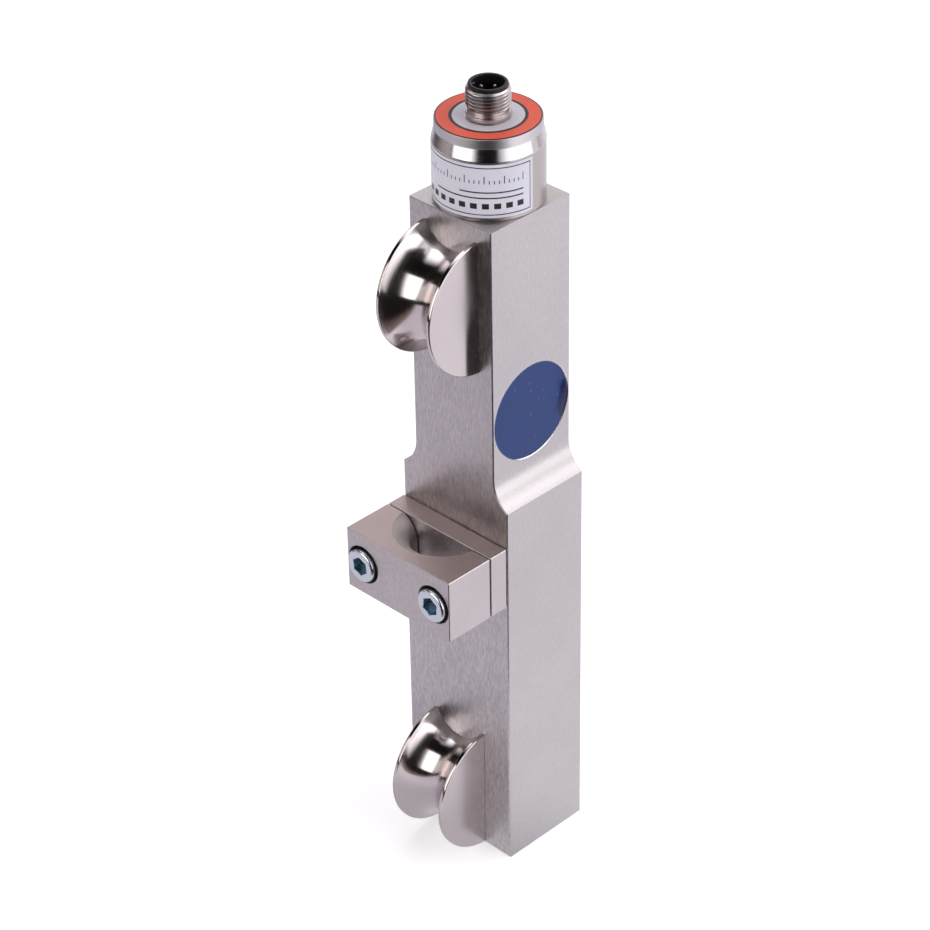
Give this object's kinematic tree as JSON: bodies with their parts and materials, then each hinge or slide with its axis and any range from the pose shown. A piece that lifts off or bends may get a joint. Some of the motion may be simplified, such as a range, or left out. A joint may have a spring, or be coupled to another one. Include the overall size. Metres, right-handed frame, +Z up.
{
  "type": "wire rope tension sensor",
  "caption": "Stepped steel bar sensor that clamps onto a taut wire rope, bends it over grooved deflectors and reads its tension, with a round threaded connector on top.",
  "frame": {"origin": "centre of the bar's flat bottom face", "axes": "+Z up along the bar towards the connector; -Y towards the side where the rope runs; +X to the right seen from the rope side, out of the side face with the resin disc that the picture shows"},
  "size_m": [0.04, 0.054, 0.2391],
  "materials": {
    "body_steel": "stainless steel, ground along its length",
    "polished_steel": "turned stainless steel, mirror polished in the groove",
    "clamp_steel": "stainless steel, fine ground faces with bright edges",
    "housing_steel": "turned stainless steel, bright shoulder",
    "zinc_steel": "zinc plated steel, bright, faintly blue",
    "plated_brass": "nickel plated brass, bright",
    "gold_contacts": "gold plated contacts",
    "black_plastic": "moulded black plastic",
    "blue_resin": "glossy blue potting resin",
    "orange_label": "printed film label, orange",
    "silver_label": "printed silver film label",
    "seal_rubber": "black nitrile rubber",
    "gauge_foil": "etched foil on a thin film",
    "wire_insulation": "coloured wire insulation",
    "board_laminate": "green lacquered laminate",
    "capacitor_can": "drawn aluminium can"
  },
  "bodies": {
    "root": {"sensor_body": "body_steel", "upper_deflector": "polished_steel", "lower_deflector": "polished_steel", "deflector_screws": "zinc_steel", "clamp_base_plate": "clamp_steel", "clamp_jaw": "clamp_steel", "clamp_screws": "zinc_steel", "strain_gauges": "gauge_foil", "gauge_terminals": "gauge_foil", "gauge_wires": "wire_insulation", "right_potting": "blue_resin", "left_potting": "blue_resin", "housing_sleeve": "housing_steel", "housing_screws": "zinc_steel", "housing_seal": "seal_rubber", "housing_cap": "housing_steel", "cap_seal": "seal_rubber", "cap_label": "orange_label", "side_label": "silver_label", "connector_shell": "plated_brass", "connector_insert": "black_plastic", "contact_pins": "gold_contacts", "connector_nut": "plated_brass", "nut_seal": "seal_rubber", "circuit_board": "board_laminate", "board_standoffs": "plated_brass", "board_screws": "zinc_steel", "amplifier_chip": "black_plastic", "board_capacitors": "capacitor_can", "pin_wires": "wire_insulation"}
  },
  "joints": []
}
